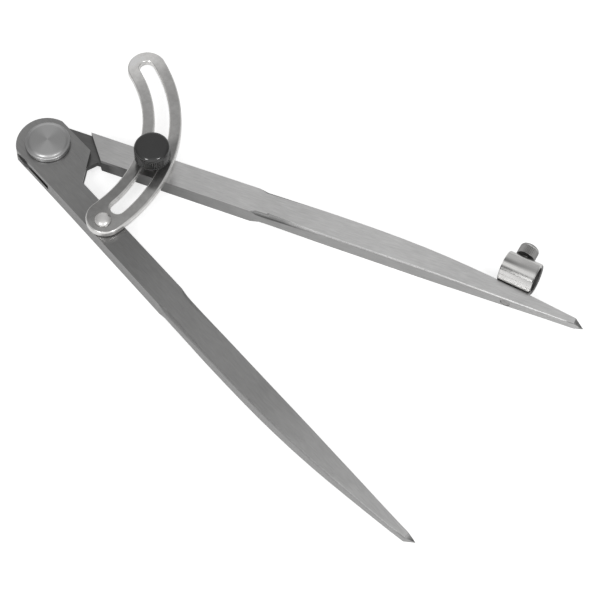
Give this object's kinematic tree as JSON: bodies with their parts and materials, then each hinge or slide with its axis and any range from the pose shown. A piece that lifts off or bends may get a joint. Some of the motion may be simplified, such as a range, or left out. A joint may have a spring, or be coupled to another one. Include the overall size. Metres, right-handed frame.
{
  "type": "wing divider",
  "caption": "Steel wing divider: forked and tongued legs on a domed rivet, slotted arc wing with a knurled thumb screw, and a pencil sleeve with a clamp screw near one point.",
  "frame": {"origin": "on the pivot rivet's axis, at the back plane of the legs where the rivet ends flush", "axes": "+X is the fork leg's closing line from the pivot to its point, +Z goes through the thickness from the back towards the rivet heads, and +Y points to the tongue leg's side"},
  "size_m": [0.2008, 0.1094, 0.0182],
  "materials": {
    "dark_steel": "forged and ground steel with a dark, satin surface",
    "ground_steel": "steel ground lengthwise, satin",
    "plated_steel": "nickel-plated, tumbled, softly glossy",
    "bright_plate": "bright plated, glossy",
    "black_oxide": "black oxide, dull sheen"
  },
  "bodies": {
    "fork": {"fork_leg": "dark_steel", "pivot_rivet": "plated_steel", "wing_rivet": "bright_plate"},
    "tongue": {"tongue_leg": "ground_steel", "pencil_sleeve": "bright_plate", "sleeve_rivet": "ground_steel"},
    "wing": {"wing": "plated_steel"},
    "thumb": {"thumb_screw": "black_oxide"},
    "clamp": {"pencil_screw": "black_oxide"}
  },
  "joints": [
    {"name": "leg_opening", "type": "hinge", "parent": "fork", "child": "tongue", "pos_m": [0, 0, 0], "axis": [0, 0, 1], "range_deg": [-28.6, 56.3]},
    {"name": "wing_swing", "type": "hinge", "parent": "fork", "child": "wing", "pos_m": [0.0374, -0.0052, 0], "axis": [0, 0, 1], "range_deg": [-4.1, 8.1]},
    {"name": "thumb_turn", "type": "hinge", "parent": "tongue", "child": "thumb", "pos_m": [0.02946, 0.0219, 0], "axis": [0, 0, 1], "range_deg": [-360, 360]},
    {"name": "pencil_screw_feed", "type": "slide", "parent": "tongue", "child": "clamp", "axis": [-0.3849, 0.923, 0], "range_m": [0, 0.003]}
  ],
  "couplings": [
    {"joint": "wing_swing", "follows": "leg_opening", "ratio": 0.142}
  ]
}
